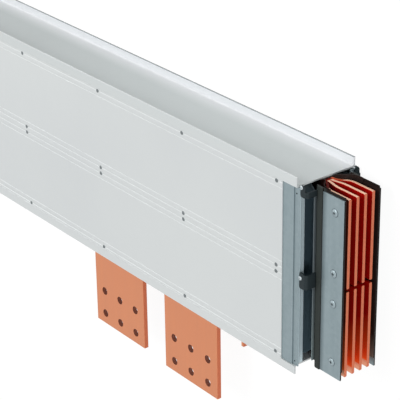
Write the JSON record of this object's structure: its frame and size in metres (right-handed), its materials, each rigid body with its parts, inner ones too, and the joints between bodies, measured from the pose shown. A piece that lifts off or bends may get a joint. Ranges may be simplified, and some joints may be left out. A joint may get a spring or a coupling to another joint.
{
  "type": "busway section",
  "caption": "Straight sandwich-type busway length in a white casing, with flared copper bars at its open joint end and drilled copper connection plates below the casing.",
  "frame": {"origin": "under the middle of the whole object, on the surface that it lies on", "axes": "+X along the busway to its open joint end, +Y across the casing height to the top channel, +Z across the casing width to the near side panel"},
  "size_m": [2.0982, 0.6346, 0.14],
  "materials": {
    "white_paint": "satin white",
    "galvanised_steel": "galvanised",
    "rivet_steel": "bright zinc",
    "black_coat": "matt black coat",
    "copper": "bare copper",
    "black_plastic": "moulded",
    "insulation": "insulating film"
  },
  "bodies": {
    "root": {"barrier_insulation_far": "insulation", "barrier_insulation_near": "insulation", "bottom_channel": "white_paint", "busbar_1_lower": "copper", "busbar_1_upper": "copper", "busbar_2_lower": "copper", "busbar_2_upper": "copper", "busbar_3_lower": "copper", "busbar_3_upper": "copper", "busbar_4_lower": "copper", "busbar_4_upper": "copper", "clip_middle_far": "black_plastic", "clip_middle_near": "black_plastic", "clip_top_far": "black_plastic", "clip_top_near": "black_plastic", "connection_plate_1": "copper", "connection_plate_2": "copper", "core_side_far": "black_coat", "core_side_near": "black_coat", "earth_tab": "copper", "edge_insulation_bottom": "insulation", "edge_insulation_top": "insulation", "end_angle_far": "galvanised_steel", "end_angle_near": "galvanised_steel", "end_band_far": "galvanised_steel", "end_band_near": "galvanised_steel", "end_cover": "white_paint", "jaw_plate_far": "galvanised_steel", "jaw_plate_near": "galvanised_steel", "jaw_rivets_far": "rivet_steel", "jaw_rivets_near": "rivet_steel", "phase_insulation_far": "insulation", "phase_insulation_middle": "insulation", "phase_insulation_near": "insulation", "side_panel_far": "white_paint", "side_panel_near": "white_paint", "side_profile_far": "black_plastic", "side_profile_near": "black_plastic", "side_strip_far": "galvanised_steel", "side_strip_near": "galvanised_steel", "top_channel": "white_paint"}
  },
  "joints": []
}
